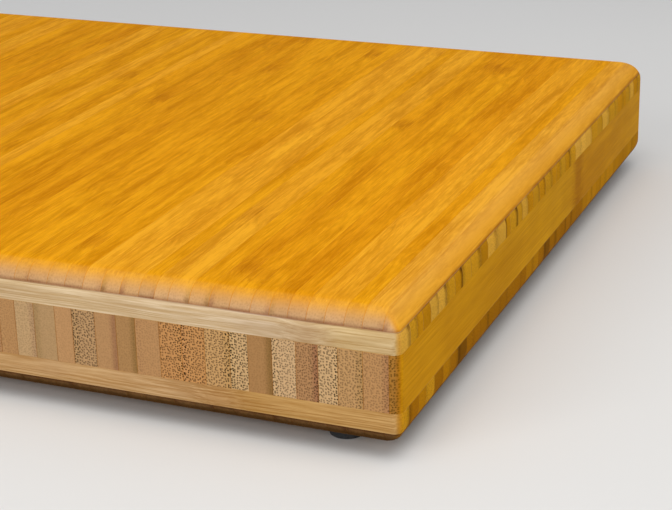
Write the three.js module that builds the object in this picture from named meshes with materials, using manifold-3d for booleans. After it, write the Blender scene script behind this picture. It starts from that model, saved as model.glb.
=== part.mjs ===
// A thick bamboo cutting board: five cross-laid plies of glued strips, standing on four screwed rubber feet.
// Millimetres, +Z up. The origin is the centre of the footprint, on the surface that the feet stand on.
// +X runs along the board's length, and the long front edge faces -Y.

import * as THREE from 'three';
import { mergeVertices } from 'three/addons/utils/BufferGeometryUtils.js';
import Module from 'manifold-3d';

const wasm = await Module();
wasm.setup();

// ---- driving dimensions ----

const LENGTH = 457.2; // 18 in, along X
const DEPTH = 304.8; // 12 in, along Y
const FACE_PLY = 5.7; // outer plies, strips along Y
const CROSS_PLY = 7; // second and fourth plies, strips along X
const CORE_PLY = 19.05; // middle ply, strips on edge along Y
const ARRIS_RADIUS = 9; // round-over of the top and bottom edges
const CORNER_RADIUS = 3; // upright corners
const ROUND_STEPS = 9; // facets in a quarter of a round-over

const FACE_PANELS = 6; // each face ply is glued up from this many panels
const CROSS_PANELS = 4;

// The core's strips are counted from the right-hand edge. The first was trimmed when the board was squared,
// and the others come in one lot of widths that repeats.
const TRIMMED_STRIP = 3.6;
const STRIP_WIDTHS = [8.3, 8.0, 6.4, 7.2, 7.9, 7.9, 6.2, 8.5, 7.9, 7.6, 8.4, 6.8, 7.5, 8.3, 6.2, 7.7, 7.1, 6.0];
const STRIPS_PER_STAVE = 2;

const FOOT_HEIGHT = 4;
const FOOT_TOP_RADIUS = 6.35;
const FOOT_TREAD_RADIUS = 5.6;
const FOOT_TREAD_ROUND = 0.6;
const FOOT_INSET_X = 23.8; // foot axis to the board's end
const FOOT_INSET_Y = 15.9; // foot axis to the board's long edge
const FOOT_LEDGE = 2.2; // height of the seat that the screw head pulls down on
const FOOT_RECESS_RADIUS = 3.6;

const SCREW_HEAD_RADIUS = 3;
const SCREW_HEAD_HEIGHT = 1.5;
const SCREW_SHANK_RADIUS = 1.5;
const SCREW_LENGTH = 13.4; // under the head
const SCREW_POINT = 3;
const SCREW_CLEARANCE = 0.3;
const ROUND_SIDES = 32;

// ---- levels and edges that follow from them ----

const BOTTOM = FOOT_HEIGHT;
const LOWER_CROSS_BOTTOM = BOTTOM + FACE_PLY;
const CORE_BOTTOM = LOWER_CROSS_BOTTOM + CROSS_PLY;
const CORE_TOP = CORE_BOTTOM + CORE_PLY;
const UPPER_CROSS_TOP = CORE_TOP + CROSS_PLY;
const TOP = UPPER_CROSS_TOP + FACE_PLY;
const RIGHT = LENGTH / 2;
const BACK = DEPTH / 2;

// ---- materials ----

function satin(color, roughness = 0.5) {
  return new THREE.MeshStandardMaterial({ color, roughness, metalness: 0 });
}

const AMBER = satin(0xd9982b, 0.42);
const STRAW = satin(0xd3b281);
const HONEY = satin(0xc99a56);
const CORE_TONES = [0xb98a58, 0xc9a878, 0xb3814e, 0xc7a06a, 0xbf9a72].map((tone) => satin(tone, 0.6));
const RUBBER = satin(0x1d2226, 0.85);
const ZINC = new THREE.MeshStandardMaterial({ color: 0xb9bcc0, roughness: 0.35, metalness: 1 });

// ---- solids from closed geometries, and back ----

function toSolid(geometry) {
  geometry.deleteAttribute('normal');
  geometry.deleteAttribute('uv');
  const merged = mergeVertices(geometry);
  return new wasm.Manifold(new wasm.Mesh({
    numProp: 3,
    vertProperties: Float32Array.from(merged.getAttribute('position').array),
    triVerts: Uint32Array.from(merged.getIndex().array),
  }));
}

function toGeometry(solid) {
  const { vertProperties, triVerts } = solid.getMesh();
  const geometry = new THREE.BufferGeometry();
  geometry.setAttribute('position', new THREE.BufferAttribute(vertProperties, 3));
  geometry.setIndex(new THREE.BufferAttribute(triVerts, 1));
  geometry.computeVertexNormals();
  return geometry;
}

// A box between two corners. Its corners are set directly, so neighbours that share an edge meet exactly.
function block([left, front, low], [right, back, high]) {
  const geometry = new THREE.BoxGeometry(1, 1, 1);
  const corners = geometry.getAttribute('position');
  for (let i = 0; i < corners.count; i++) {
    corners.setXYZ(
      i,
      corners.getX(i) < 0 ? left : right,
      corners.getY(i) < 0 ? front : back,
      corners.getZ(i) < 0 ? low : high,
    );
  }
  return toSolid(geometry);
}

// ---- the board's outline, which every strip of wood is trimmed to ----

function roundedRectangle(width, height, radius) {
  const [x, y] = [width / 2, height / 2];
  const shape = new THREE.Shape();
  shape.absarc(x - radius, y - radius, radius, 0, Math.PI / 2);
  shape.absarc(radius - x, y - radius, radius, Math.PI / 2, Math.PI);
  shape.absarc(radius - x, radius - y, radius, Math.PI, 1.5 * Math.PI);
  shape.absarc(x - radius, radius - y, radius, 1.5 * Math.PI, 2 * Math.PI);
  return shape;
}

function prism(shape, length) {
  const geometry = new THREE.ExtrudeGeometry(shape, {
    depth: length,
    curveSegments: ROUND_STEPS,
    bevelEnabled: false,
  });
  return geometry.translate(0, 0, -length / 2);
}

// The round-overs along the length and across the depth meet on a mitre at each corner, as a router leaves them.
function boardOutline() {
  const thickness = TOP - BOTTOM;
  const middle = (TOP + BOTTOM) / 2;
  const plan = prism(roundedRectangle(LENGTH, DEPTH, CORNER_RADIUS), thickness);
  const acrossDepth = prism(roundedRectangle(LENGTH, thickness, ARRIS_RADIUS), DEPTH).rotateX(Math.PI / 2);
  const alongLength = prism(roundedRectangle(thickness, DEPTH, ARRIS_RADIUS), LENGTH).rotateY(Math.PI / 2);
  return [plan, acrossDepth, alongLength]
    .map((geometry) => toSolid(geometry.translate(0, 0, middle)))
    .reduce((outline, solid) => outline.intersect(solid));
}

const OUTLINE = boardOutline();

// ---- feet and their screws ----

const FOOT_PLACES = [
  ['front_left', -1, -1],
  ['front_right', 1, -1],
  ['back_left', -1, 1],
  ['back_right', 1, 1],
].map(([corner, sideX, sideY]) => ({
  corner,
  x: sideX * (RIGHT - FOOT_INSET_X),
  y: sideY * (BACK - FOOT_INSET_Y),
}));

function lathe(points) {
  const profile = points.map(([radius, height]) => new THREE.Vector2(radius, height));
  return new THREE.LatheGeometry(profile, ROUND_SIDES).rotateX(Math.PI / 2);
}

// A tapered rubber bumper with a hole for the screw, and a recess that keeps its head off the worktop.
function footGeometry() {
  const hole = SCREW_SHANK_RADIUS + SCREW_CLEARANCE;
  return lathe([
    [hole, FOOT_LEDGE],
    [FOOT_RECESS_RADIUS, FOOT_LEDGE],
    [FOOT_RECESS_RADIUS, 0],
    [FOOT_TREAD_RADIUS - FOOT_TREAD_ROUND, 0],
    [FOOT_TREAD_RADIUS - FOOT_TREAD_ROUND / 4, FOOT_TREAD_ROUND / 4],
    [FOOT_TREAD_RADIUS, FOOT_TREAD_ROUND],
    [FOOT_TOP_RADIUS, FOOT_HEIGHT],
    [hole, FOOT_HEIGHT],
    [hole, FOOT_LEDGE],
  ]);
}

// A pan-head wood screw, point up.
function screwGeometry() {
  const underHead = FOOT_LEDGE;
  return lathe([
    [0, underHead - SCREW_HEAD_HEIGHT],
    [SCREW_HEAD_RADIUS * 0.7, underHead - SCREW_HEAD_HEIGHT],
    [SCREW_HEAD_RADIUS * 0.94, underHead - SCREW_HEAD_HEIGHT * 0.7],
    [SCREW_HEAD_RADIUS, underHead],
    [SCREW_SHANK_RADIUS, underHead],
    [SCREW_SHANK_RADIUS, underHead + SCREW_LENGTH - SCREW_POINT],
    [0, underHead + SCREW_LENGTH],
  ]);
}

// The four holes that the screws stand in, with clearance at the sides and over the points.
function screwHoles() {
  const radius = SCREW_SHANK_RADIUS + SCREW_CLEARANCE;
  const bottom = BOTTOM - 1;
  const top = FOOT_LEDGE + SCREW_LENGTH + SCREW_CLEARANCE;
  return FOOT_PLACES
    .map(({ x, y }) => new THREE.CylinderGeometry(radius, radius, top - bottom, ROUND_SIDES)
      .rotateX(Math.PI / 2)
      .translate(x, y, (top + bottom) / 2))
    .map(toSolid)
    .reduce((holes, hole) => holes.add(hole));
}

const HOLES = screwHoles();

// ---- assembly ----

const board = new THREE.Group();

function addPiece(name, geometry, material) {
  const mesh = new THREE.Mesh(geometry, material);
  mesh.name = name;
  board.add(mesh);
  return mesh;
}

function placeWood(name, corner, opposite, material) {
  const wood = block(corner, opposite).intersect(OUTLINE).subtract(HOLES);
  addPiece(name, toGeometry(wood), material);
}

// A face ply: panels side by side along X, each with its strips along Y.
function facePly(name, low, high) {
  const edge = (i) => RIGHT * ((2 * i) / FACE_PANELS - 1);
  for (let i = 0; i < FACE_PANELS; i++) {
    placeWood(`${name}_${i + 1}`, [edge(i), -BACK, low], [edge(i + 1), BACK, high], AMBER);
  }
}

// A cross ply: panels side by side along Y, each with its strips along X.
function crossPly(name, low, high, material) {
  const edge = (i) => BACK * ((2 * i) / CROSS_PANELS - 1);
  for (let i = 0; i < CROSS_PANELS; i++) {
    placeWood(`${name}_${i + 1}`, [-RIGHT, edge(i), low], [RIGHT, edge(i + 1), high], material);
  }
}

// The joints between the core's strips, from the right-hand edge to the left-hand one.
function coreJoints() {
  const joints = [RIGHT, RIGHT - TRIMMED_STRIP];
  for (let i = 0; joints.at(-1) - STRIP_WIDTHS[i % STRIP_WIDTHS.length] > 1 - RIGHT; i++) {
    joints.push(joints.at(-1) - STRIP_WIDTHS[i % STRIP_WIDTHS.length]);
  }
  joints.push(-RIGHT);
  return joints;
}

// The core: staves of two strips each, numbered from the right-hand edge.
function corePly() {
  const joints = coreJoints();
  for (let first = 0; first < joints.length - 1; first += STRIPS_PER_STAVE) {
    const number = first / STRIPS_PER_STAVE;
    const last = Math.min(first + STRIPS_PER_STAVE, joints.length - 1);
    placeWood(
      `core_stave_${String(number + 1).padStart(2, '0')}`,
      [joints[last], -BACK, CORE_BOTTOM],
      [joints[first], BACK, CORE_TOP],
      CORE_TONES[number % CORE_TONES.length],
    );
  }
}

facePly('bottom_face_panel', BOTTOM, LOWER_CROSS_BOTTOM);
crossPly('lower_cross_panel', LOWER_CROSS_BOTTOM, CORE_BOTTOM, HONEY);
corePly();
crossPly('upper_cross_panel', CORE_TOP, UPPER_CROSS_TOP, STRAW);
facePly('top_face_panel', UPPER_CROSS_TOP, TOP);

for (const { corner, x, y } of FOOT_PLACES) {
  addPiece(`foot_${corner}`, footGeometry(), RUBBER).position.set(x, y, 0);
  addPiece(`foot_screw_${corner}`, screwGeometry(), ZINC).position.set(x, y, 0);
}

export default board;
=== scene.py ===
"""A thick bamboo cutting board of five cross-laid plies, on four screwed rubber feet, in a soft studio.

Each ply is made as one closed shell of the board's outline, then sliced into pieces. A piece stands for a
panel or stave of the CAD model, for two panels of a cross ply, or for a third of a top panel. Every glued
strip in a piece gets a fine V at its joints, and its own tones and grain.
"""
import itertools
import math
import random

import bmesh
import bpy
from mathutils import Matrix, Vector

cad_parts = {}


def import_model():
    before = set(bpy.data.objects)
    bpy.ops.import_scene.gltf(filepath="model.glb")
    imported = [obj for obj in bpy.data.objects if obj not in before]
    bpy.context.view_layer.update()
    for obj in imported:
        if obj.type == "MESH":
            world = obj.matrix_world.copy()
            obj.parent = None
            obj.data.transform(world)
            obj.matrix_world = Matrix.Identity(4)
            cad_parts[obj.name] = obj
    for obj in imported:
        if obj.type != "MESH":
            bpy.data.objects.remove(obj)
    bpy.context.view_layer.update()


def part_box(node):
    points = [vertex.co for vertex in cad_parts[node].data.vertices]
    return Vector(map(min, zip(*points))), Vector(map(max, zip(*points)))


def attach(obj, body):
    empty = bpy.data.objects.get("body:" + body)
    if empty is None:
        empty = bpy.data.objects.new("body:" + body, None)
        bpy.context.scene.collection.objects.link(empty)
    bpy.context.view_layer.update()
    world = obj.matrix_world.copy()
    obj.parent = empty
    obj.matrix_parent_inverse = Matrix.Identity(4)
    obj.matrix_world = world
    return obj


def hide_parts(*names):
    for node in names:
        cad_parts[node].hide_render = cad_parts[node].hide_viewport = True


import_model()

MM = 0.001
X_AXIS, Y_AXIS, Z_AXIS = range(3)

# ---- the board's size, from the CAD model ----

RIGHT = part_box("core_stave_01")[1].x
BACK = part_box("core_stave_02")[1].y
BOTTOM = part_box("bottom_face_panel_1")[0].z
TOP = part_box("top_face_panel_1")[1].z
MIDDLE = (TOP + BOTTOM) / 2
HALF_THICKNESS = (TOP - BOTTOM) / 2

ARRIS_RADIUS = 9 * MM
CORNER_RADIUS = 3 * MM
MITRE_RADIUS = 2.4 * MM  # how soft the mitre is where two round-overs meet
ARRIS_STEPS = 14
CORNER_STEPS = 8
FLAT_MARGIN = 1.5 * MM  # an extra ring on the two flat faces, this far in from the round-over
GROOVE = 0.07 * MM  # depth and half width of the V where two strips meet
SAME_PLACE = 1e-6  # metres
CUT_TOLERANCE = 1e-7  # metres
LEAST_OUTWARD = 0.3  # a vertex whose normal has less than this in the joint's plane isn't moved into the V

# ---- strips: widths in mm, from the right-hand edge for the faces and core, from the front for the rest ----

# The core's widths are the gaps between joints measured in the photo. The others were read off one by one.

FACE_WIDTHS = [5.6, 6.6, 5.8, 6.3, 5.9, 6.0, 6.0, 6.3, 6.9, 6.9, 6.7, 7.2,
               4.8, 5.4, 6.6, 6.6, 6.6, 6.4, 6.4, 7.0, 5.0, 7.2, 7.2, 7.0]
UPPER_WIDTHS = [9.0, 6.0, 5.2, 6.8, 7.3, 7.7, 8.0, 7.5, 8.7, 10.0,
                7.6, 10.1, 10.1, 5.0, 9.0, 5.5, 6.5, 7.2, 7.6, 7.6]
LOWER_WIDTHS = [7.4, 8.1, 6.9, 7.7, 8.3, 7.2, 7.5, 8.6, 7.1, 7.4]
CORE_WIDTHS = [8.3, 8.0, 6.4, 7.2, 7.9, 7.9, 6.2, 8.5, 7.9, 7.6, 8.4, 6.8, 7.5, 8.3, 6.2, 7.7, 7.1, 6.0]
CORE_TRIMMED = 3.6  # the outermost core strip, which the board's edge was sawn through
NARROWEST = 1.0  # the last strip of a ply also takes up a remainder up to this wide

# ---- knots: places in mm ----

KNOT_SPACING = 251.0  # between the knots of one bamboo stem

# The top's knots that stand out: the strip, counted from 0 at the right, and the place from the front.
FACE_KNOTS = {8: 17.0, 9: 22.0, 10: 180.0, 12: 68.0, 18: 26.0, 19: 173.0, 23: 240.0, 27: 184.0, 32: 212.0}

# The knots that show on the right-hand face and on the front, from the board's middle.
CORE_SIDE_KNOT = 47.0
UPPER_FRONT_KNOT = 198.6
LOWER_FRONT_KNOT = 168.6

# ---- tones, as linear albedo ----

# The tones that face the front and back, PINKISH, STRAW, HONEY and the core's ends, are paler and greyer than
# those that face up and to the right: partly their own colour, partly painted light, a cooler light from the
# front.
# The long sides of the face plies' strips, and their ends.
AMBER = (0.705, 0.291, 0.002)
LIGHT_AMBER = (0.742, 0.318, 0.010)
DARK_AMBER = (0.662, 0.261, 0.001)
EDGE_AMBER = (0.72, 0.325, 0.021)
PINKISH = (0.492, 0.298, 0.150)
# The bottom ply's two tones are the top's wood darkened with painted shade.
SHADE_DARKENED_AMBER = (0.34, 0.145, 0.007)
SHADE_DARKENED_END = (0.19, 0.10, 0.04)

# The long sides of the core's, upper cross ply's and lower cross ply's strips.
OCHRE = (0.58, 0.268, 0.003)
STRAW = (0.622, 0.451, 0.247)
HONEY = (0.535, 0.310, 0.114)

# The ends of the cross plies' strips.
END_PALE = (0.69, 0.365, 0.045)
END_STRAW = (0.63, 0.33, 0.035)
END_TAN = (0.54, 0.26, 0.010)
END_OCHRE = (0.51, 0.225, 0.004)
END_BROWN = (0.45, 0.193, 0.003)
END_DEEP = (0.35, 0.138, 0.002)
END_DARK = (0.21, 0.08, 0.002)

# Tints of a strip's skin side, where its end shows.
OLIVE = (0.62, 0.62, 0.48)
MAUVE = (0.66, 0.55, 0.62)
PALE = (1.16, 1.22, 1.30)
DUSK = (0.42, 0.40, 0.30)

# Tints of the long grain: a dark streak, a pale one, and the two ends of a stretch between knots.
DARK_GRAIN = (0.80, 0.72, 0.55)
PALE_GRAIN = (1.12, 1.16, 1.15)
PALE_GRAIN_LIFT = (0.0, 0.003, 0.005)  # added to the pale streak
STRETCH_START = (0.97, 0.94, 0.82)
STRETCH_END = (1.05, 1.12, 1.50)

KNOT_TINT = (0.76, 0.66, 0.60)
GLUE_TINT = (0.46, 0.32, 0.30)
OILED_TINT = (0.86, 0.70, 0.32)
# The tint below is painted shade, for the rim that stands over the worktop.
RIM_SHADE_TINT = (0.20, 0.17, 0.15)
# The tone below pales the arris: partly wear, partly a painted highlight.
WORN_HIGHLIGHT_TONE = (0.64, 0.38, 0.13)

BLACK_RUBBER = (0.020, 0.022, 0.025)
DUSTY_RUBBER = (0.055, 0.053, 0.050)
DARK_ZINC = (0.50, 0.51, 0.53)
PALE_ZINC = (0.72, 0.72, 0.70)
FLOOR_TONES = (0.70, 0.70, 0.69), (0.74, 0.74, 0.73)

# The top's strips from the right: edge, light, middling or dark. Then how light the end of each kind is.
FACE_SHADES = "EEMLLDDMMDMLLMLLLMMMMMMMDDDDMMLMMLM"
EDGE_STRIPS = 2  # the first ones, which don't come round again
END_LIGHTNESS = {"E": 1.04, "L": 1.06, "M": 1.00, "D": 0.95}

# The core's tones follow each strip's mean colour as measured in the photo.
# Each core strip's end from the right: its tone, how strongly the fibre dots show, the tint of its skin
# side, how strong that is, and the side that it is on (1 right, 0 left).
# These ends face the front, so their tones hold part of the painted cooler front light.
CORE_ENDS = [
    ((0.31, 0.140, 0.025), 0.90, MAUVE, 0.1, 1),
    ((0.43, 0.229, 0.091), 0.45, MAUVE, 0.5, 1),
    ((0.43, 0.245, 0.10), 0.65, OLIVE, 0.4, 1),
    ((0.47, 0.300, 0.145), 1.00, OLIVE, 0.2, 1),
    ((0.365, 0.192, 0.082), 0.70, MAUVE, 0.8, 1),
    ((0.49, 0.315, 0.160), 0.85, OLIVE, 0.2, 0),
    ((0.375, 0.198, 0.075), 0.15, OLIVE, 0.8, 1),
    ((0.44, 0.280, 0.130), 1.25, OLIVE, 0.3, 0),
    ((0.435, 0.250, 0.100), 1.00, OLIVE, 0.4, 1),
    ((0.42, 0.207, 0.072), 1.05, MAUVE, 0.2, 0),
    ((0.42, 0.205, 0.072), 1.00, OLIVE, 0.2, 1),
    ((0.435, 0.234, 0.097), 0.20, MAUVE, 0.1, 0),
    ((0.38, 0.208, 0.081), 0.15, OLIVE, 0.7, 1),
    ((0.43, 0.237, 0.102), 0.12, MAUVE, 0.7, 1),
    ((0.37, 0.220, 0.102), 0.95, OLIVE, 0.3, 0),
    ((0.460, 0.252, 0.108), 0.12, PALE, 0.1, 0),
    ((0.42, 0.260, 0.120), 0.12, OLIVE, 0.4, 0),
    ((0.465, 0.298, 0.145), 0.25, MAUVE, 0.4, 1),
    ((0.42, 0.226, 0.091), 0.20, PALE, 0.1, 0),
]

# Each cross-ply strip's end from the front: its tone, how strong the skin side's tint is, and the side that
# it is on (1 back, 0 front).
UPPER_ENDS = [
    (END_PALE, 0.70, 1), (END_TAN, 0.30, 1), (END_OCHRE, 0.30, 0), (END_BROWN, 0.05, 1),
    (END_STRAW, 0.35, 1), (END_STRAW, 0.75, 1), (END_TAN, 0.30, 0), (END_OCHRE, 1.00, 1),
    (END_TAN, 0.40, 0), (END_TAN, 0.60, 1), (END_BROWN, 0.15, 0), (END_STRAW, 0.45, 1),
    (END_STRAW, 0.20, 0), (END_OCHRE, 0.70, 0), (END_TAN, 0.90, 1), (END_TAN, 0.20, 1),
    (END_STRAW, 0.30, 1), (END_OCHRE, 0.20, 0), (END_TAN, 0.40, 1), (END_OCHRE, 0.50, 1),
    (END_TAN, 0.35, 1), (END_OCHRE, 0.15, 0), (END_OCHRE, 0.20, 1), (END_TAN, 0.30, 0),
    (END_OCHRE, 0.60, 1), (END_TAN, 0.30, 0), (END_PALE, 0.15, 1), (END_PALE, 0.10, 0),
    (END_PALE, 0.20, 1), (END_TAN, 0.10, 0), (END_TAN, 0.20, 1), (END_STRAW, 0.25, 1),
    (END_TAN, 0.20, 0), (END_TAN, 0.30, 0), (END_OCHRE, 0.20, 1), (END_OCHRE, 0.25, 0),
    (END_TAN, 0.30, 1), (END_STRAW, 0.30, 0), (END_OCHRE, 0.30, 1), (END_TAN, 0.20, 0),
]
LOWER_ENDS = [
    (END_TAN, 0.50, 1), (END_DEEP, 0.60, 0), (END_BROWN, 0.10, 1), (END_TAN, 0.15, 0),
    (END_DEEP, 0.10, 1), (END_BROWN, 0.30, 1), (END_DEEP, 0.40, 1), (END_DARK, 0.60, 0),
    (END_DEEP, 0.15, 1), (END_DEEP, 0.10, 0), (END_DEEP, 0.10, 1), (END_DEEP, 0.50, 0),
    (END_DEEP, 0.25, 1), (END_DEEP, 0.20, 1), (END_DEEP, 0.05, 0), (END_DEEP, 0.05, 1),
    (END_DEEP, 0.25, 0), (END_BROWN, 0.35, 1), (END_BROWN, 0.20, 0), (END_DEEP, 0.30, 1),
    (END_DARK, 0.50, 0), (END_DEEP, 0.50, 1), (END_DEEP, 0.50, 0), (END_DEEP, 0.55, 1),
    (END_DEEP, 0.60, 1), (END_DEEP, 0.15, 0), (END_DEEP, 0.05, 1), (END_BROWN, 0.35, 0),
    (END_OCHRE, 0.30, 1), (END_OCHRE, 0.25, 0), (END_BROWN, 0.30, 1), (END_OCHRE, 0.30, 1),
    (END_OCHRE, 0.25, 0), (END_OCHRE, 0.35, 1), (END_BROWN, 0.10, 0), (END_BROWN, 0.10, 1),
    (END_BROWN, 0.15, 0), (END_OCHRE, 0.40, 1), (END_BROWN, 0.20, 0), (END_BROWN, 0.40, 1),
]

rng = random.Random(20)


# ---- outline and shells ----

def inset_at(z):
    """How far the round-over draws the outline in at height z."""
    over = max(0.0, abs(z - MIDDLE) - (HALF_THICKNESS - ARRIS_RADIUS))
    return ARRIS_RADIUS - math.sqrt(max(0.0, ARRIS_RADIUS**2 - over**2))


def outline(inset):
    """The board's rounded rectangle, drawn in by inset, counter-clockwise from above."""
    points = []
    radius = max(MITRE_RADIUS, CORNER_RADIUS - inset / (1 - math.sqrt(0.5)))
    centre = Vector((RIGHT - inset - radius, BACK - inset - radius))
    for quarter, (side_x, side_y) in enumerate([(1, 1), (-1, 1), (-1, -1), (1, -1)]):
        for step in range(CORNER_STEPS + 1):
            angle = (quarter + step / CORNER_STEPS) * math.pi / 2
            points.append((side_x * centre.x + radius * math.cos(angle),
                           side_y * centre.y + radius * math.sin(angle)))
    return points


def arris_heights():
    """Heights of the steps round the top round-over, from its foot up."""
    foot_of_arris = TOP - ARRIS_RADIUS
    angles = [math.pi / 2 * step / ARRIS_STEPS for step in range(ARRIS_STEPS + 1)]
    return [foot_of_arris + ARRIS_RADIUS * math.sin(angle) for angle in angles]


def ply_rows(low, high):
    """(height, inset) of each ring of a ply's shell, with a half V where it meets the next ply."""
    heights = arris_heights()
    heights += [2 * MIDDLE - z for z in heights]
    inner = sorted(z for z in heights if low + 2 * GROOVE < z < high - 2 * GROOVE)
    rows = [(z, inset_at(z)) for z in [low + GROOVE, *inner, high - GROOVE]]
    if abs(low - BOTTOM) < GROOVE:
        rows[0] = (BOTTOM, ARRIS_RADIUS)
        rows.insert(0, (BOTTOM, ARRIS_RADIUS + FLAT_MARGIN))
    else:
        rows.insert(0, (low, inset_at(low) + GROOVE))
    if abs(high - TOP) < GROOVE:
        rows[-1] = (TOP, ARRIS_RADIUS)
        rows.append((TOP, ARRIS_RADIUS + FLAT_MARGIN))
    else:
        rows.append((high, inset_at(high) + GROOVE))
    return rows


def shell(rows):
    """A closed solid through a stack of outlines."""
    bm = bmesh.new()
    rings = [[bm.verts.new((x, y, z)) for x, y in outline(inset)] for z, inset in rows]
    for lower, upper in zip(rings, rings[1:]):
        for i in range(len(lower)):
            bm.faces.new((lower[i - 1], lower[i], upper[i], upper[i - 1]))
    bm.faces.new(reversed(rings[0]))
    bm.faces.new(rings[-1])
    return bm


def slice_at(bm, axis, at, drop=None):
    """Cuts every face that crosses the plane axis = at. drop, "above" or "below", is removed and capped."""
    point, normal = Vector(), Vector()
    point[axis], normal[axis] = at, 1
    cut = bmesh.ops.bisect_plane(
        bm,
        geom=bm.verts[:] + bm.edges[:] + bm.faces[:],
        dist=CUT_TOLERANCE,
        plane_co=point,
        plane_no=normal,
        clear_outer=drop == "above",
        clear_inner=drop == "below",
    )
    if drop:
        rim = [part for part in cut["geom_cut"] if isinstance(part, bmesh.types.BMEdge)]
        bmesh.ops.contextual_create(bm, geom=rim)


def cut_joints(bm, axis, strips, low, high):
    """Trims the shell to low..high along axis, and gives each joint between strips its V."""
    edge = RIGHT if axis == X_AXIS else BACK
    joints = [s["low"] for s in strips] + [strips[-1]["high"]]
    for at in joints:
        on_board_edge = abs(abs(at) - edge) < GROOVE
        if on_board_edge:
            continue
        if abs(at - low) < GROOVE:
            slice_at(bm, axis, at, "below")
            slice_at(bm, axis, at + GROOVE)
        elif abs(at - high) < GROOVE:
            slice_at(bm, axis, at, "above")
            slice_at(bm, axis, at - GROOVE)
        else:
            for offset in (-GROOVE, 0, GROOVE):
                slice_at(bm, axis, at + offset)
    bmesh.ops.recalc_face_normals(bm, faces=bm.faces[:])
    bm.normal_update()
    inner = [at for at in joints if abs(abs(at) - edge) > GROOVE]
    moves = []
    for vert in bm.verts:
        if any(abs(vert.co[axis] - at) < SAME_PLACE for at in inner):
            inwards = -vert.normal
            inwards[axis] = 0
            if inwards.length > LEAST_OUTWARD:
                moves.append((vert, inwards.normalized() * GROOVE))
    for vert, move in moves:
        vert.co += move


# ---- strips ----

def jitter(tone, amount):
    """The tone a little lighter or darker, and a little redder or greyer."""
    light = 1 + rng.uniform(-amount, amount)
    warm = rng.uniform(-amount, amount) / 3
    return (tone[0] * light * (1 + warm), tone[1] * light, tone[2] * light * (1 - 3 * warm))


def joint_places(first, widths, start, end):
    """Joints from start to end, in metres: an optional first width, then the widths over and over."""
    step = 1 if end > start else -1
    places = [start]
    if first:
        places.append(start + step * first * MM)
    for width in itertools.cycle(widths):
        if abs(end - places[-1]) <= (width + NARROWEST) * MM:
            return places + [end]
        places.append(places[-1] + step * width * MM)


def strips_between(places, look):
    """One record for each strip, lowest first. look(number) says how the strip with that number looks."""
    strips = []
    for number, (a, b) in enumerate(zip(places, places[1:])):
        strips.append({"low": min(a, b), "high": max(a, b), "seed": rng.random(), **look(number)})
    return sorted(strips, key=lambda s: s["low"])


def come_round(number, count, once):
    """Where strip number is in a list of count that comes round again, apart from the first few."""
    return number if number < count else once + (number - once) % (count - once)


# A look's traits are how strongly the fibre dots show, the side that the skin is on, and how strong its tint
# is. Its knot is where along the strip one is, in mm, and its knuckle is how dark the knots are, up to 1.

def face_look(long_tones, end_tone, knots):
    """Looks of a face ply's strips. long_tones is by shade, and knots are the ones that stand out."""
    def look(number):
        shade = FACE_SHADES[come_round(number, len(FACE_SHADES), EDGE_STRIPS)]
        details = {
            "long": jitter(long_tones[shade], 0.02),
            "end": jitter([part * END_LIGHTNESS[shade] for part in end_tone], 0.06),
            "skin": rng.choice([OLIVE, MAUVE, MAUVE]),
            "traits": (0.14, rng.randint(0, 1), rng.uniform(0.0, 0.7)),
            "knot": rng.uniform(0, KNOT_SPACING),
        }
        details["knuckle"] = 0.1 + 0.35 * details["knot"] / KNOT_SPACING  # faint, some less than others
        if number in knots:
            details["knot"] = knots[number] - BACK / MM
            details["knuckle"] = 1.0
        return details
    return look


def core_look(number):
    """Looks of a core strip. Beyond the listed ones they come round again, a little changed."""
    tone, dots, skin, amount, side = CORE_ENDS[come_round(number, len(CORE_ENDS), 1)]
    if number >= len(CORE_ENDS):
        tone = jitter(tone, 0.08)
        dots *= rng.uniform(0.6, 1.3)
        amount *= rng.uniform(0.4, 1.4)
    return {
        "long": jitter(OCHRE, 0.03),
        "end": tone,
        "skin": skin,
        "traits": (dots, side, min(amount, 1)),
        "knot": CORE_SIDE_KNOT if number == 0 else rng.uniform(0, KNOT_SPACING),
        "knuckle": 1.0,
    }


def cross_look(long_tone, ends, first_knot):
    """Looks of a cross ply's strips. first_knot is the place of the knot on the strip at the front."""
    def look(number):
        tone, amount, side = ends[number]
        return {
            "long": jitter(long_tone, 0.03),
            "end": jitter(tone, 0.05),
            "skin": DUSK,
            "traits": (rng.uniform(0.1, 0.35), side, amount),
            "knot": first_knot if number == 0 else rng.uniform(0, KNOT_SPACING),
            "knuckle": 1.0,
        }
    return look


def write_strips(mesh, axis, strips):
    """Gives every face the tones, place and traits of the strip that it is on."""
    on_faces = []
    for face in mesh.polygons:
        at = face.center[axis]
        on_faces.append(next((s for s in strips if at <= s["high"]), strips[-1]))
    values = {
        "strip_long": lambda s: s["long"],
        "strip_end": lambda s: s["end"],
        "strip_skin": lambda s: s["skin"],
        "strip_traits": lambda s: s["traits"],
        "strip_span": lambda s: (s["low"] / MM, (s["high"] - s["low"]) / MM, s["seed"]),
        "strip_knot": lambda s: (s["knot"], s["knuckle"], 0),
    }
    for name, value in values.items():
        attribute = mesh.attributes.new(name, "FLOAT_VECTOR", "FACE")
        attribute.data.foreach_set("vector", [float(part) for s in on_faces for part in value(s)])


# ---- objects ----

def finish_mesh(bm, name, material, sharp_degrees=30):
    """Makes an object of the bmesh, shaded smooth apart from the edges sharper than sharp_degrees."""
    bmesh.ops.recalc_face_normals(bm, faces=bm.faces[:])
    for edge in bm.edges:
        edge.smooth = edge.calc_face_angle(0) < math.radians(sharp_degrees)
    for face in bm.faces:
        face.smooth = True
    mesh = bpy.data.meshes.new(name)
    bm.to_mesh(mesh)
    bm.free()
    mesh.materials.append(material)
    piece = bpy.data.objects.new(name, mesh)
    bpy.context.scene.collection.objects.link(piece)
    return piece


def add_piece(piece, slot, *nodes):
    """Puts the piece on the board, in place of the CAD nodes that it stands for."""
    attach(piece, "root")
    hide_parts(*nodes)


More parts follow.
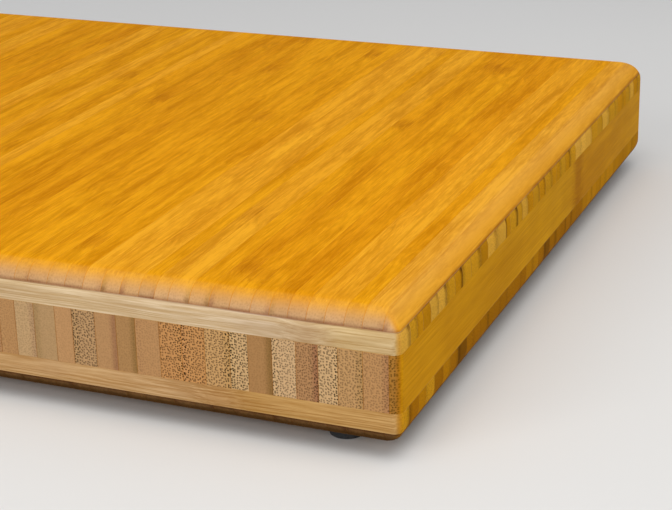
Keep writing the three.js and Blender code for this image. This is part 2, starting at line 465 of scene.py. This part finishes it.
def ply_pieces(label, slot, axis, strips, groups, material):
    """Makes a ply's pieces. groups is, for each, the CAD nodes it stands for and its reach along axis."""
    node_low, node_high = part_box(groups[0][0][0])
    base = shell(ply_rows(node_low.z, node_high.z))
    for number, (nodes, low, high) in enumerate(groups, 1):
        own = [s for s in strips if low - GROOVE < (s["low"] + s["high"]) / 2 < high + GROOVE]
        bm = base.copy()
        cut_joints(bm, axis, own, low, high)
        piece = finish_mesh(bm, f"{label}_{number:02d}", material)
        write_strips(piece.data, axis, own)
        add_piece(piece, slot, *nodes)
    base.free()


# ---- material nodes ----

class Graph:
    """Builds one material's nodes."""

    def __init__(self, name):
        self.material = bpy.data.materials.new(name)
        self.material.use_nodes = True
        self.nodes = self.material.node_tree.nodes
        self.links = self.material.node_tree.links
        self.shader = self.nodes["Principled BSDF"]

    def feed(self, socket, value):
        """Links an output to the socket, or sets the socket to a plain value."""
        if isinstance(value, bpy.types.NodeSocket):
            self.links.new(value, socket)
        else:
            socket.default_value = value

    def node(self, kind, inputs=None, **settings):
        made = self.nodes.new(kind)
        for name, value in settings.items():
            setattr(made, name, value)
        for key, value in (inputs or {}).items():
            self.feed(made.inputs[key], value)
        return made

    def math(self, operation, *values, clamp=False):
        inputs = dict(enumerate(values))
        return self.node("ShaderNodeMath", inputs, operation=operation, use_clamp=clamp).outputs[0]

    def vector(self, operation, *values):
        made = self.node("ShaderNodeVectorMath", dict(enumerate(values)), operation=operation)
        return made.outputs["Vector"]

    def combine(self, x=0.0, y=0.0, z=0.0):
        return self.node("ShaderNodeCombineXYZ", {0: x, 1: y, 2: z}).outputs[0]

    def separate(self, vector):
        return self.node("ShaderNodeSeparateXYZ", {0: vector}).outputs

    def scaled(self, vector, x, y, z):
        return self.vector("MULTIPLY", vector, (x, y, z))

    def noise(self, vector, detail=2.0, roughness=0.5, output="Fac"):
        inputs = {"Vector": vector, "Scale": 1.0, "Detail": detail, "Roughness": roughness}
        return self.node("ShaderNodeTexNoise", inputs).outputs[output]

    def centred(self, noise):
        """A noise of 0 to 1, moved to lie round 0."""
        return self.math("SUBTRACT", noise, 0.5)

    def smooth(self, value, low, high, to_low=0.0, to_high=1.0):
        """Goes from to_low to to_high as the value goes from low to high."""
        inputs = {"Value": value, "From Min": low, "From Max": high, "To Min": to_low, "To Max": to_high}
        return self.node("ShaderNodeMapRange", inputs, interpolation_type="SMOOTHSTEP").outputs[0]

    def fade(self, value, low, high, most=1.0):
        """Goes from most to 0 as the value goes from low to high."""
        return self.smooth(value, low, high, most, 0.0)

    def mix(self, factor, a, b, blend="MIX"):
        """From colour a, at factor 0, to colour b. With blend MULTIPLY, to a times b."""
        made = self.node("ShaderNodeMix", data_type="RGBA", blend_type=blend, clamp_factor=True)
        self.feed(made.inputs[0], factor)
        self.feed(made.inputs[6], (*a, 1) if isinstance(a, tuple) else a)
        self.feed(made.inputs[7], (*b, 1) if isinstance(b, tuple) else b)
        return made.outputs[2]

    def by(self, colour, value):
        """The colour times a number."""
        made = self.node("ShaderNodeVectorMath", {0: colour, 3: value}, operation="SCALE")
        return made.outputs["Vector"]

    def attribute(self, name):
        made = self.node("ShaderNodeAttribute", attribute_name=name, attribute_type="GEOMETRY")
        return made.outputs["Vector"]

    def coordinates(self, output):
        return self.node("ShaderNodeTexCoord").outputs[output]

    def millimetres(self):
        """The point's place in mm, in the frame, since every piece's origin is the frame's."""
        return self.scaled(self.coordinates("Object"), 1 / MM, 1 / MM, 1 / MM)

    def bump(self, height, distance):
        made = self.node("ShaderNodeBump", {"Height": height, "Distance": distance, "Strength": 1.0})
        self.feed(self.shader.inputs["Normal"], made.outputs[0])


BUNDLE_PITCH = 0.83  # mm between fibre bundles
WANDER = 3.2  # mm, how far the fibres drift from side to side
KNOT_SWELL = 1.1  # mm, how far the fibres swell out round a knot
SEED_SHIFT = 173.0  # mm, sets the strips' grain apart
WOOD_SPECULAR = 0.005  # nearly without shine, as in the photo
GRAIN_RELIEF = 0.05 * MM
PEBBLE_RELIEF = 0.04 * MM
SCRATCH_RELIEF = 0.01 * MM


class Bamboo(Graph):
    """Bamboo whose fibres run along one axis. It reads what write_strips stored on the mesh."""

    def __init__(self, name, along):
        super().__init__(name)
        axes = self.separate(self.millimetres())
        self.length, self.across, self.up = axes[along], axes[1 - along], axes[Z_AXIS]
        self.left, self.width, seed = self.separate(self.attribute("strip_span"))[:3]
        self.dots, self.side, self.skin_amount = self.separate(self.attribute("strip_traits"))[:3]
        self.knot, self.knuckled = self.separate(self.attribute("strip_knot"))[:2]
        self.shift = self.math("MULTIPLY", seed, SEED_SHIFT)
        self.find_knots()
        self.find_fibres()
        self.find_place_on_strip()
        self.find_facing(along)
        self.hair = self.mottle = self.worn_and_highlit = None  # made by long_grain, end_grain and wear

    def find_knots(self):
        """How far along its stretch between knots a point is, 0 to 1, and how far from a knot, in mm."""
        from_first = self.math("DIVIDE", self.math("SUBTRACT", self.length, self.knot), KNOT_SPACING)
        self.stretch = self.math("FRACT", from_first)
        nearer = self.math("MINIMUM", self.stretch, self.math("SUBTRACT", 1.0, self.stretch))
        self.from_knot = self.math("MULTIPLY", nearer, KNOT_SPACING)

    def find_fibres(self):
        """Where the fibre bundles are. They wander a little along the strip, and swell round a knot."""
        swell = self.fade(self.from_knot, 0.0, 11.0, KNOT_SWELL)
        upward = self.math("ADD", self.math("ADD", self.up, swell), self.shift)
        self.lane = self.combine(self.math("ADD", self.across, swell), self.length, upward)
        drift = self.noise(self.scaled(self.lane, 0.06, 0.014, 0.06), output="Color")
        wander = self.separate(self.vector("SUBTRACT", drift, (0.5, 0.5, 0.5)))
        section_across = self.math("MULTIPLY_ADD", wander[0], WANDER, self.across)
        section_up = self.math("ADD", self.math("MULTIPLY_ADD", wander[1], WANDER, self.up), self.shift)
        inputs = {"Vector": self.combine(section_across, section_up), "Scale": 1 / BUNDLE_PITCH,
                  "Randomness": 0.75}
        fibre = self.node("ShaderNodeTexVoronoi", inputs, voronoi_dimensions="2D")
        self.from_bundle = fibre.outputs["Distance"]
        self.bundle = self.fade(self.from_bundle, 0.16, 0.48)
        self.bundle_number = self.separate(fibre.outputs["Color"])[0]

    def find_place_on_strip(self):
        """How near the strip's skin side a point is, from 0 to 1, and how far from a joint, in mm."""
        into_strip = self.math("SUBTRACT", self.across, self.left)
        from_left = self.math("DIVIDE", into_strip, self.width, clamp=True)
        from_right = self.math("SUBTRACT", 1.0, from_left)
        other_side = self.math("SUBTRACT", 1.0, self.side)
        from_pith = self.math("ADD", self.math("MULTIPLY", from_left, self.side),
                              self.math("MULTIPLY", from_right, other_side))
        self.near_skin = self.smooth(from_pith, 0.60, 0.92)
        self.to_joint = self.math("MULTIPLY", self.math("MINIMUM", from_left, from_right), self.width)

    def find_facing(self, along):
        """How much of an end a surface is, and how flat: 0 midway round the arris, and 1 on a flat face."""
        facing = self.separate(self.coordinates("Normal"))
        x, y, z = self.turned = [self.math("ABSOLUTE", part) for part in facing[:3]]
        self.endness = self.smooth(self.turned[along], 0.35, 1.0)
        steepest = self.math("MAXIMUM", x, self.math("MAXIMUM", y, z))
        self.flatness = self.smooth(steepest, 0.74, 0.99)

    def long_grain(self, streaks, dashes, bands, shortness, knots, ageing):
        """The long sides' colour: hair lines, dashes, bands, knots, and a slow change from knot to knot."""
        self.hair = self.noise(self.scaled(self.lane, 1.5, 0.030 * shortness, 1.5), 5.0, 0.7)
        dash = self.noise(self.scaled(self.lane, 0.9, 0.065 * shortness, 0.9), 3.0, 0.6)
        broad = self.noise(self.scaled(self.lane, 0.20, 0.010 * shortness, 0.20), 4.0, 0.6)
        streak = self.math("MULTIPLY_ADD", self.centred(self.hair), 2.2 * streaks, 0.60)
        streak = self.math("ADD", streak, self.math("MULTIPLY", self.centred(dash), 1.8 * streaks * dashes))
        streak = self.math("ADD", streak, self.math("MULTIPLY", self.centred(broad), 1.6 * bands))
        bundle_core = self.fade(self.from_bundle, 0.10, 0.38)
        vessels = self.math("MULTIPLY", bundle_core, self.smooth(dash, 0.38, 0.56))
        streak = self.math("SUBTRACT", streak, self.math("MULTIPLY", vessels, 0.75 * streaks), clamp=True)

        # The arris is rubbed, so its grain is calmer.
        calm = self.math("MULTIPLY_ADD", self.flatness, 0.55, 0.45)
        streak = self.math("MULTIPLY_ADD", self.math("SUBTRACT", streak, 0.55), calm, 0.55)

        near_knot = self.fade(self.from_knot, 0.0, 14.0)
        aged = self.math("MULTIPLY_ADD", self.math("SUBTRACT", 0.5, self.stretch), near_knot, self.stretch)
        aged = self.math("MULTIPLY_ADD", self.math("SUBTRACT", aged, 0.4), ageing, 0.4)
        tone = self.attribute("strip_long")
        tone = self.mix(aged, self.scaled(tone, *STRETCH_START), self.scaled(tone, *STRETCH_END))
        pale = self.vector("MULTIPLY_ADD", tone, PALE_GRAIN, PALE_GRAIN_LIFT)
        colour = self.mix(streak, self.scaled(tone, *DARK_GRAIN), pale)
        ragged = self.math("MULTIPLY_ADD", self.centred(self.hair), 12.0, self.from_knot)
        knuckle = self.math("MULTIPLY", self.fade(ragged, 0.0, 11.0, knots), self.knuckled)
        return self.mix(knuckle, colour, KNOT_TINT, "MULTIPLY")

    def end_grain(self):
        """The ends' colour: a dark dot for each fibre bundle, stronger near the tinted skin side."""
        strength = self.math("MULTIPLY", self.dots, self.math("MULTIPLY_ADD", self.near_skin, 0.4, 0.75))
        strength = self.math("MULTIPLY", strength, self.math("MULTIPLY_ADD", self.bundle_number, 0.6, 0.7))
        light = self.math("MULTIPLY", strength, self.math("MULTIPLY_ADD", self.bundle, -1.05, 0.34))
        self.mottle = self.noise(self.scaled(self.lane, 0.9, 0.9, 0.9), 3.0, 0.6)
        light = self.math("ADD", light, self.math("MULTIPLY_ADD", self.centred(self.mottle), 0.26, 1.0))
        colour = self.by(self.attribute("strip_end"), light)
        skin = self.vector("MULTIPLY", colour, self.attribute("strip_skin"))
        return self.mix(self.math("MULTIPLY", self.near_skin, self.skin_amount), colour, skin)

    def glue(self, seams, seam_reach, on_long):
        """How much glue darkens a point, at the joints between strips and the seams to the next plies."""
        patchy = self.smooth(self.noise(self.scaled(self.lane, 0.05, 0.03, 0.05)), 0.35, 0.65, 0.05, 0.65)
        amount = self.math("MULTIPLY", self.fade(self.to_joint, 0.04, 0.32), patchy)
        amount = self.math("MULTIPLY", amount, self.smooth(self.endness, 0.7, 1.0, on_long, 1.0))
        skin = self.math("MULTIPLY", self.near_skin, self.skin_amount)
        skin_end = self.math("MULTIPLY", skin, self.endness)
        for seam in seams:
            off = self.math("ABSOLUTE", self.math("SUBTRACT", self.up, seam / MM))
            uneven = self.math("MULTIPLY_ADD", patchy, 0.6, 0.5)
            line = self.math("MULTIPLY", self.fade(off, 0.1, seam_reach), uneven)
            stub = self.math("MULTIPLY", self.fade(off, 0.4, 2.4), skin_end)
            amount = self.math("MAXIMUM", amount, self.math("MAXIMUM", line, stub))
        return amount

    def wear_and_highlight(self, colour):
        """Makes the arris paler, partly with wear and partly with a painted highlight, and leaves more oil on
        the upright corners.
        """
        self.worn_and_highlit = self.math("MULTIPLY", self.smooth(self.turned[Z_AXIS], 0.55, 0.90),
                                self.fade(self.turned[Z_AXIS], 0.93, 0.999))
        colour = self.mix(self.math("MULTIPLY", self.worn_and_highlit, 0.15), colour, WORN_HIGHLIGHT_TONE)
        corner = self.smooth(self.math("MINIMUM", self.turned[0], self.turned[1]), 0.25, 0.65, 0.0, 0.6)
        return self.mix(corner, colour, OILED_TINT, "MULTIPLY")

    def paint_rim_shade(self, colour):
        """Darkens the rim that stands over the worktop, but not the underside, with painted shade."""
        uneven = self.math("MULTIPLY_ADD", self.centred(self.mottle), 1.6, self.up)
        above = self.math("SUBTRACT", uneven, BOTTOM / MM)
        amount = self.math("MULTIPLY", self.fade(above, 2.8, 6.2, 0.90),
                           self.fade(self.turned[Z_AXIS], 0.95, 0.995))
        return self.mix(amount, colour, RIM_SHADE_TINT, "MULTIPLY")


def bamboo(name, along, seams=(), seam_reach=1.2, shaded_rim=False, streaks=1.0, dashes=1.0, bands=1.0,
           shortness=1.0, knots=0.5, glue_on_long=0.3, ageing=1.0):
    """Oiled bamboo whose fibres run along one axis. Their ends show as dots, and their sides as streaks.

    seams are the heights of the glue lines to the next plies, and seam_reach how far those spread, in mm.
    streaks is how strong the fine grain is, dashes how strong its dashes are beside its hair lines, and
    bands how strong the broad bands are. shortness is how short all three are. knots is how dark the knots
    are, glue_on_long how dark the joints are on the long sides, and ageing how much a strip changes from one
    knot to the next. Wood with a shaded rim has the rim over the worktop darkened with painted shade.
    """
    wood = Bamboo(name, along)
    long_colour = wood.long_grain(streaks, dashes, bands, shortness, knots, ageing)
    colour = wood.mix(wood.endness, long_colour, wood.end_grain())
    glue = wood.glue(seams, seam_reach, glue_on_long)
    # The arris is paled by wear and a painted highlight, and the upright corners take more oil.
    colour = wood.wear_and_highlight(wood.mix(glue, colour, GLUE_TINT, "MULTIPLY"))
    # The rim over the worktop is darkened with painted shade.
    if shaded_rim:
        colour = wood.paint_rim_shade(colour)
    wood.feed(wood.shader.inputs["Base Color"], colour)

    rough = wood.math("MULTIPLY_ADD", wood.hair, 0.24, 0.36)
    rough = wood.math("MULTIPLY_ADD", wood.endness, 0.16, rough)
    rough = wood.math("MULTIPLY_ADD", wood.worn_and_highlit, -0.05, rough)
    wood.feed(wood.shader.inputs["Roughness"], rough)
    wood.shader.inputs["Specular IOR Level"].default_value = WOOD_SPECULAR
    height = wood.math("MULTIPLY", wood.hair, 0.7)
    height = wood.math("ADD", height, wood.math("MULTIPLY", wood.bundle, -0.45))
    height = wood.math("SUBTRACT", height, wood.math("MULTIPLY", glue, 0.8))
    wood.bump(height, GRAIN_RELIEF)
    return wood.material


def rubber():
    """Black rubber with a fine pebbled surface and a little dust."""
    g = Graph("foot_rubber")
    place = g.millimetres()
    fine = g.noise(g.scaled(place, 4.0, 4.0, 4.0), 5.0, 0.6)
    dust = g.noise(g.scaled(place, 0.6, 0.6, 0.6), 4.0, 0.6)
    colour = g.mix(g.smooth(dust, 0.40, 0.72), BLACK_RUBBER, DUSTY_RUBBER)
    g.feed(g.shader.inputs["Base Color"], colour)
    g.feed(g.shader.inputs["Roughness"], g.math("MULTIPLY_ADD", dust, 0.30, 0.55))
    g.bump(fine, PEBBLE_RELIEF)
    return g.material


def zinc():
    """Zinc-plated steel with a faint spangle and fine scratches."""
    g = Graph("screw_steel")
    place = g.millimetres()
    spangle = g.noise(g.scaled(place, 1.3, 1.3, 1.3), 4.0, 0.55)
    scratch = g.noise(g.scaled(place, 9.0, 1.2, 9.0), 3.0, 0.6)
    colour = g.mix(g.smooth(spangle, 0.35, 0.70), DARK_ZINC, PALE_ZINC)
    g.feed(g.shader.inputs["Base Color"], colour)
    g.feed(g.shader.inputs["Roughness"], g.math("MULTIPLY_ADD", scratch, 0.30, 0.18))
    g.shader.inputs["Metallic"].default_value = 1.0
    g.bump(scratch, SCRATCH_RELIEF)
    return g.material


# ---- the plies ----

def node_groups(prefix, count, axis, per_piece=1, digits=1):
    """CAD nodes in order along axis, per_piece of them to a group, with the group's reach along axis."""
    names = [f"{prefix}_{i:0{digits}d}" for i in range(1, count + 1)]
    names.sort(key=lambda name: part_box(name)[0][axis])
    groups = []
    for i in range(0, count, per_piece):
        members = names[i:i + per_piece]
        groups.append((members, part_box(members[0])[0][axis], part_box(members[-1])[1][axis]))
    return groups


def split_groups(groups, strips, parts):
    """Splits each group's reach at its own strips' joints, into that many pieces."""
    split = []
    for nodes, low, high in groups:
        own = [s for s in strips if low < (s["low"] + s["high"]) / 2 < high]
        step = math.ceil(len(own) / parts)
        for i in range(0, len(own), step):
            members = own[i:i + step]
            split.append((nodes, members[0]["low"], members[-1]["high"]))
    return split


top_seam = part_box("top_face_panel_1")[0].z
bottom_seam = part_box("bottom_face_panel_1")[1].z
face_wood = bamboo("face_bamboo", Y_AXIS, seams=(top_seam, bottom_seam), shaded_rim=True, streaks=0.58,
                   dashes=1.6, bands=1.8, shortness=2.0, knots=0.70, glue_on_long=0.12, ageing=0.45)
core_wood = bamboo("core_bamboo", Y_AXIS, streaks=0.6, bands=0.6, knots=1.0)
upper_wood = bamboo("upper_cross_bamboo", X_AXIS, seams=(top_seam,), seam_reach=0.5, streaks=1.05,
                    bands=0.7, ageing=0.7)
lower_wood = bamboo("lower_cross_bamboo", X_AXIS, streaks=1.4, bands=0.9)

face_places = joint_places(None, FACE_WIDTHS, RIGHT, -RIGHT)
core_places = joint_places(CORE_TRIMMED, CORE_WIDTHS, RIGHT, -RIGHT)
upper_places = joint_places(None, UPPER_WIDTHS, -BACK, BACK)
lower_places = joint_places(None, LOWER_WIDTHS, -BACK, BACK)
top_tones = {"E": EDGE_AMBER, "L": LIGHT_AMBER, "M": AMBER, "D": DARK_AMBER}
# The bottom ply takes the tones darkened with painted shade.
shaded_bottom_tones = dict.fromkeys("ELMD", SHADE_DARKENED_AMBER)
top_strips = strips_between(face_places, face_look(top_tones, PINKISH, FACE_KNOTS))
bottom_strips = strips_between(face_places, face_look(shaded_bottom_tones, SHADE_DARKENED_END, {}))
core_strips = strips_between(core_places, core_look)
upper_strips = strips_between(upper_places, cross_look(STRAW, UPPER_ENDS, UPPER_FRONT_KNOT))
lower_strips = strips_between(lower_places, cross_look(HONEY, LOWER_ENDS, LOWER_FRONT_KNOT))

ply_pieces("bottom_strips", "face_bamboo", X_AXIS, bottom_strips,
           node_groups("bottom_face_panel", 6, X_AXIS), face_wood)
ply_pieces("lower_cross_strips", "lower_cross_bamboo", Y_AXIS, lower_strips,
           node_groups("lower_cross_panel", 4, Y_AXIS, 2), lower_wood)
ply_pieces("core_strips", "core_bamboo", X_AXIS, core_strips,
           node_groups("core_stave", 31, X_AXIS, digits=2), core_wood)
ply_pieces("upper_cross_strips", "upper_cross_bamboo", Y_AXIS, upper_strips,
           node_groups("upper_cross_panel", 4, Y_AXIS, 2), upper_wood)
ply_pieces("top_strips", "face_bamboo", X_AXIS, top_strips,
           split_groups(node_groups("top_face_panel", 6, X_AXIS), top_strips, 3), face_wood)


# ---- feet and screws ----

# The foot's radii and heights.
FOOT_TREAD = 5.6 * MM
FOOT_RECESS = 3.6 * MM
FOOT_HOLE = 1.8 * MM
FOOT_LEDGE = 2.2 * MM  # the roof of the recess, which the screw's head bears on
FOOT_EASE = 0.12 * MM  # how far the side leans out over the tread, and steps out to the flange
FOOT_TREAD_HEIGHT = 0.7 * MM
FOOT_FLANGE = 0.5 * MM
FOOT_STEP = 0.6 * MM  # where the step out to the flange starts, from the top
FOOT_FILLET = 0.28 * MM
FILLETS_PER_EDGE = 2.5  # a fillet gets smaller where an edge has no room for this many
FOOT_SIDES = 72
FOOT_SHARP = 50  # degrees

# The screw.
HEAD_HEIGHT = 1.5 * MM
HEAD_FLAT = 0.72  # of the head's radius
HEAD_FLAT_RINGS = 18
HEAD_ROUND_RINGS = 8
HEAD_ROUND_HEIGHT = 0.999  # of the head's height
HEAD_RIM = 0.985  # of the head's radius: a ring on its underside that keeps the rim crisp
CROSS_REACH = 1.75 * MM
CROSS_HALF_WIDTH = 0.42 * MM
CROSS_WALL = 0.25  # of the half width: how far a wall of the cross slopes to either side
CROSS_DEPTH = 0.95 * MM
SHANK_RADIUS = 1.5 * MM
SHANK_ROOT = 1.05 * MM
THREAD_PITCH = 1.3 * MM
THREAD_ROWS = 10  # for each turn
THREAD_STEEPNESS = 5  # a crest falls to the root in a fifth of a turn
POINT_LENGTH = 3.0 * MM
POINT_CURVE = 0.8
SCREW_SIDES = 96
SCREW_SHARP = 40  # degrees


def ring(bm, centre, sides, at_angle):
    """A ring of vertices round an upright axis. at_angle(angle) is the radius and height there."""
    made = []
    for i in range(sides):
        angle = 2 * math.pi * i / sides
        radius, height = at_angle(angle)
        place = (centre.x + radius * math.cos(angle), centre.y + radius * math.sin(angle), height)
        made.append(bm.verts.new(place))
    return made


def join_rings(bm, rings, closed):
    """Makes faces from ring to ring, and if closed from last to first. A ring may be one vertex."""
    pairs = list(zip(rings, rings[1:]))
    if closed:
        pairs.append((rings[-1], rings[0]))
    for a, b in pairs:
        for i in range(max(len(a), len(b))):
            if len(a) == 1:
                corners = [a[0], b[i], b[i - 1]]
            elif len(b) == 1:
                corners = [a[i - 1], a[i], b[0]]
            else:
                corners = [a[i - 1], a[i], b[i], b[i - 1]]
            bm.faces.new(corners)


def rounded(profile, fillet, steps=4):
    """The closed profile with each corner turned into a small arc."""
    smooth = []
    for i, corner in enumerate(profile):
        before, here, after = (Vector(p) for p in (profile[i - 1], corner, profile[(i + 1) % len(profile)]))
        reach_in = min(fillet, (before - here).length / FILLETS_PER_EDGE)
        reach_out = min(fillet, (after - here).length / FILLETS_PER_EDGE)
        start = here + (before - here).normalized() * reach_in
        end = here + (after - here).normalized() * reach_out
        for step in range(steps + 1):
            t = step / steps
            smooth.append(start * (1 - t) ** 2 + here * 2 * t * (1 - t) + end * t**2)
    return smooth


def foot(corner, material):
    """A tapered rubber foot with a flange at the top, and a recess with a hole for the screw."""
    node = f"foot_{corner}"
    low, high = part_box(node)
    centre = (low + high) / 2
    top_radius = (high.x - low.x) / 2
    profile = rounded([
        (FOOT_HOLE, FOOT_LEDGE),
        (FOOT_RECESS, FOOT_LEDGE),
        (FOOT_RECESS, low.z),
        (FOOT_TREAD, low.z),
        (FOOT_TREAD + FOOT_EASE, low.z + FOOT_TREAD_HEIGHT),
        (top_radius - FOOT_EASE, high.z - FOOT_STEP),
        (top_radius, high.z - FOOT_FLANGE),
        (top_radius, high.z),
        (FOOT_HOLE, high.z),
    ], FOOT_FILLET)
    bm = bmesh.new()
    rings = [ring(bm, centre, FOOT_SIDES, lambda angle, point=point: point) for point in profile]
    join_rings(bm, rings, closed=True)
    piece = finish_mesh(bm, f"rubber_foot_{corner}", material, FOOT_SHARP)
    add_piece(piece, "foot_rubber", node)


def cross_depth(radius, angle):
    """How deep the cross recess in the screw's head is at a point."""
    x, y = abs(radius * math.cos(angle)), abs(radius * math.sin(angle))
    off_arm, on_arm = min(x, y), max(x, y)
    if on_arm >= CROSS_REACH:
        return 0
    floor_depth = CROSS_DEPTH * (1 - on_arm / CROSS_REACH) ** 0.5
    wall = (CROSS_HALF_WIDTH * (1 + CROSS_WALL) - off_arm) / (CROSS_HALF_WIDTH * 2 * CROSS_WALL)
    return floor_depth * max(0.0, min(1.0, wall))


def thread_row(z, seat, top):
    """The radius and height by angle of the threaded shank at height z. It goes from seat up to top."""
    taper = min(1.0, (top - z) / POINT_LENGTH) ** POINT_CURVE
    start = min(1.0, (z - seat) / THREAD_PITCH)

    def at_angle(angle):
        phase = (z / THREAD_PITCH - angle / (2 * math.pi)) % 1
        crest = max(0.0, 1 - abs(phase - 0.5) * THREAD_STEEPNESS) * start
        return (SHANK_ROOT + (SHANK_RADIUS - SHANK_ROOT) * crest) * taper, z
    return at_angle


def screw(corner, material):
    """A pan-head wood screw with a cross recess, head down."""
    node = f"foot_screw_{corner}"
    low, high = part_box(node)
    centre = (low + high) / 2
    head_radius = (high.x - low.x) / 2
    flat_radius = HEAD_FLAT * head_radius
    seat = low.z + HEAD_HEIGHT

    rows = []
    for step in range(1, HEAD_FLAT_RINGS + 1):
        radius = flat_radius * step / HEAD_FLAT_RINGS
        rows.append(lambda angle, r=radius: (r, low.z + cross_depth(r, angle)))
    for step in range(1, HEAD_ROUND_RINGS + 1):
        turn = math.pi / 2 * step / HEAD_ROUND_RINGS
        radius = flat_radius + (head_radius - flat_radius) * math.sin(turn)
        height = seat - HEAD_HEIGHT * math.cos(turn) * HEAD_ROUND_HEIGHT
        rows.append(lambda angle, r=radius, z=height: (r, z))
    rows.append(lambda angle: (head_radius * HEAD_RIM, seat))
    rows.append(lambda angle: (SHANK_RADIUS, seat))
    count = int((high.z - seat) / (THREAD_PITCH / THREAD_ROWS))
    for row in range(1, count):
        rows.append(thread_row(seat + (high.z - seat) * row / count, seat, high.z))

    bm = bmesh.new()
    rings = [[bm.verts.new((centre.x, centre.y, low.z + CROSS_DEPTH))]]
    rings += [ring(bm, centre, SCREW_SIDES, at_angle) for at_angle in rows]
    rings.append([bm.verts.new((centre.x, centre.y, high.z))])
    join_rings(bm, rings, closed=False)
    piece = finish_mesh(bm, f"zinc_screw_{corner}", material, SCREW_SHARP)
    add_piece(piece, "screw_steel", node)


foot_material, screw_material = rubber(), zinc()
for corner_name in ("front_left", "front_right", "back_left", "back_right"):
    foot(corner_name, foot_material)
    screw(corner_name, screw_material)


# ---- studio ----

FLOOR_HALF = 6.0  # metres

# The camera as fitted to the photo's perspective: its place in mm from the underside's front right-hand
# corner, its yaw, pitch and roll in degrees, and its lens and sensor in mm.
CAMERA_PLACE = (165.25, -438.32, 244.38)
CAMERA_ANGLES = (22.858, 21.060, -1.408)
CAMERA_LENS = 94.26
CAMERA_SENSOR = 36
CAMERA_NEAREST = 0.01  # metres


def floor():
    """A large plain pale floor that the feet stand on."""
    g = Graph("studio_floor")
    place = g.coordinates("Object")
    tone = g.noise(g.scaled(place, 3.0, 3.0, 3.0), 3.0, 0.5)
    g.feed(g.shader.inputs["Base Color"], g.mix(tone, *FLOOR_TONES))
    g.shader.inputs["Roughness"].default_value = 0.9
    bm = bmesh.new()
    corners = ((-1, -1), (1, -1), (1, 1), (-1, 1))
    bm.faces.new([bm.verts.new((x * FLOOR_HALF, y * FLOOR_HALF, 0)) for x, y in corners])
    finish_mesh(bm, "floor", g.material)


def area_light(name, place, target, size, watts, colour):
    """A soft rectangular lamp, turned to its target."""
    data = bpy.data.lights.new(name, "AREA")
    data.shape = "RECTANGLE"
    data.size, data.size_y = size
    data.energy = watts
    data.color = colour
    lamp = bpy.data.objects.new(name, data)
    lamp.location = place
    lamp.rotation_euler = (Vector(target) - Vector(place)).to_track_quat("-Z", "Y").to_euler()
    bpy.context.scene.collection.objects.link(lamp)


def world(colour, strength):
    """Even light from all round."""
    made = bpy.data.worlds.new("studio")
    made.use_nodes = True
    background = made.node_tree.nodes["Background"]
    background.inputs["Color"].default_value = (*colour, 1)
    background.inputs["Strength"].default_value = strength
    bpy.context.scene.world = made


def camera():
    """Close up at the front right-hand corner, looking down along the board."""
    yaw, pitch, roll = (math.radians(angle) for angle in CAMERA_ANGLES)
    ahead = Vector((-math.sin(yaw) * math.cos(pitch), math.cos(yaw) * math.cos(pitch), -math.sin(pitch)))
    level = Vector((math.cos(yaw), math.sin(yaw), 0))
    above = level.cross(ahead)
    right = math.cos(roll) * level + math.sin(roll) * above
    up = math.cos(roll) * above - math.sin(roll) * level
    data = bpy.data.cameras.new("camera")
    data.sensor_width = CAMERA_SENSOR
    data.lens = CAMERA_LENS
    data.clip_start = CAMERA_NEAREST
    made = bpy.data.objects.new("camera", data)
    corner = Vector((RIGHT, -BACK, BOTTOM))
    turn = Matrix((right, up, -ahead)).transposed().to_4x4()
    made.matrix_world = Matrix.Translation(corner + Vector(CAMERA_PLACE) * MM) @ turn
    bpy.context.scene.collection.objects.link(made)
    bpy.context.scene.camera = made


camera()
floor()
world(colour=(0.93, 0.95, 1.0), strength=0.42)
area_light("overhead", place=(0.40, -0.35, 1.05), target=(0.05, 0, 0), size=(1.0, 0.9), watts=8.0,
           colour=(1.0, 0.97, 0.93))
area_light("front", place=(-0.5, -1.7, 0.8), target=(0.05, -0.15, 0.02), size=(1.2, 0.9), watts=13,
           colour=(1.0, 0.98, 0.97))
area_light("right", place=(1.7, 0.1, 0.6), target=(0.1, 0, 0.02), size=(1.0, 0.8), watts=3.5,
           colour=(1.0, 0.97, 0.92))
bpy.context.scene.view_settings.view_transform = "Standard"
